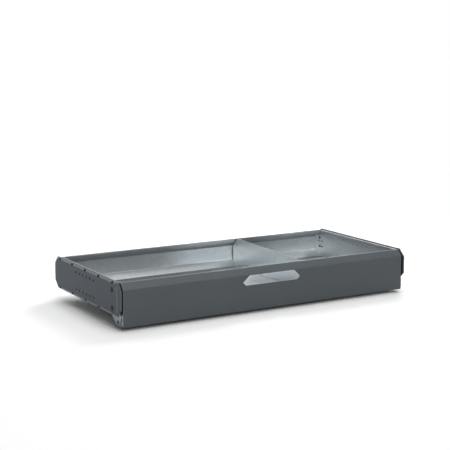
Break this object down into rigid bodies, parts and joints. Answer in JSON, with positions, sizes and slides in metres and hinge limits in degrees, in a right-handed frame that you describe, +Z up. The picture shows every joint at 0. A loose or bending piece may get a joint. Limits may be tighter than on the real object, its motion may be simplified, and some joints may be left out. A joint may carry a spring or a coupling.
{
  "type": "drop-front shelf",
  "caption": "Shallow shelf tray with a divider and a full-width front flap that has a hand-hold and folds down on a hinge under the tray.",
  "frame": {"origin": "middle of the footprint at the level of the flap's lower edge, which is the lowest edge of the shelf", "axes": "+X along the shelf to the right as seen from the front, +Y from the front flap to the back wall, +Z up"},
  "size_m": [0.968, 0.464, 0.1245],
  "materials": {
    "zinc_sheet": "galvanised sheet steel, smooth and semi-bright",
    "zinc_fastener": "zinc-plated steel",
    "flap_paint": "dark grey powder coat, fine satin",
    "side_plate_polymer": "dark grey glass-filled polymer, satin",
    "black_steel": "black oxide steel",
    "rubber": "matt black rubber",
    "nylon": "black nylon"
  },
  "bodies": {
    "shelf": {"tray": "zinc_sheet", "divider": "zinc_sheet", "divider_screw_1": "zinc_fastener", "divider_screw_2": "zinc_fastener", "divider_screw_3": "zinc_fastener", "side_plate_left": "side_plate_polymer", "end_wall_left": "zinc_sheet", "hinge_bracket_left": "zinc_sheet", "pivot_pin_left": "zinc_fastener", "pivot_washer_left": "nylon", "snap_stud_left": "zinc_fastener", "flap_buffer_left": "rubber", "side_plate_right": "side_plate_polymer", "end_wall_right": "zinc_sheet", "hinge_bracket_right": "zinc_sheet", "pivot_pin_right": "zinc_fastener", "pivot_washer_right": "nylon", "snap_stud_right": "zinc_fastener", "flap_buffer_right": "rubber", "bracket_bolt_left_upper": "black_steel", "bolt_sleeve_left_upper": "zinc_fastener", "bolt_nut_left_upper": "zinc_fastener", "plate_screw_left_upper": "black_steel", "bracket_bolt_left_lower": "black_steel", "bolt_sleeve_left_lower": "zinc_fastener", "bolt_nut_left_lower": "zinc_fastener", "plate_screw_left_lower": "black_steel", "bracket_bolt_right_upper": "black_steel", "bolt_sleeve_right_upper": "zinc_fastener", "bolt_nut_right_upper": "zinc_fastener", "plate_screw_right_upper": "black_steel", "bracket_bolt_right_lower": "black_steel", "bolt_sleeve_right_lower": "zinc_fastener", "bolt_nut_right_lower": "zinc_fastener", "plate_screw_right_lower": "black_steel"},
    "flap": {"flap": "flap_paint", "hinge_arm_left": "zinc_sheet", "hinge_arm_right": "zinc_sheet", "arm_rivet_left_upper": "zinc_fastener", "arm_rivet_left_lower": "zinc_fastener", "arm_rivet_right_upper": "zinc_fastener", "arm_rivet_right_lower": "zinc_fastener"}
  },
  "joints": [
    {"name": "flap_hinge", "type": "hinge", "parent": "shelf", "child": "flap", "pos_m": [0, -0.207, 0.014], "axis": [1, 0, 0], "range_deg": [0, 90]}
  ]
}
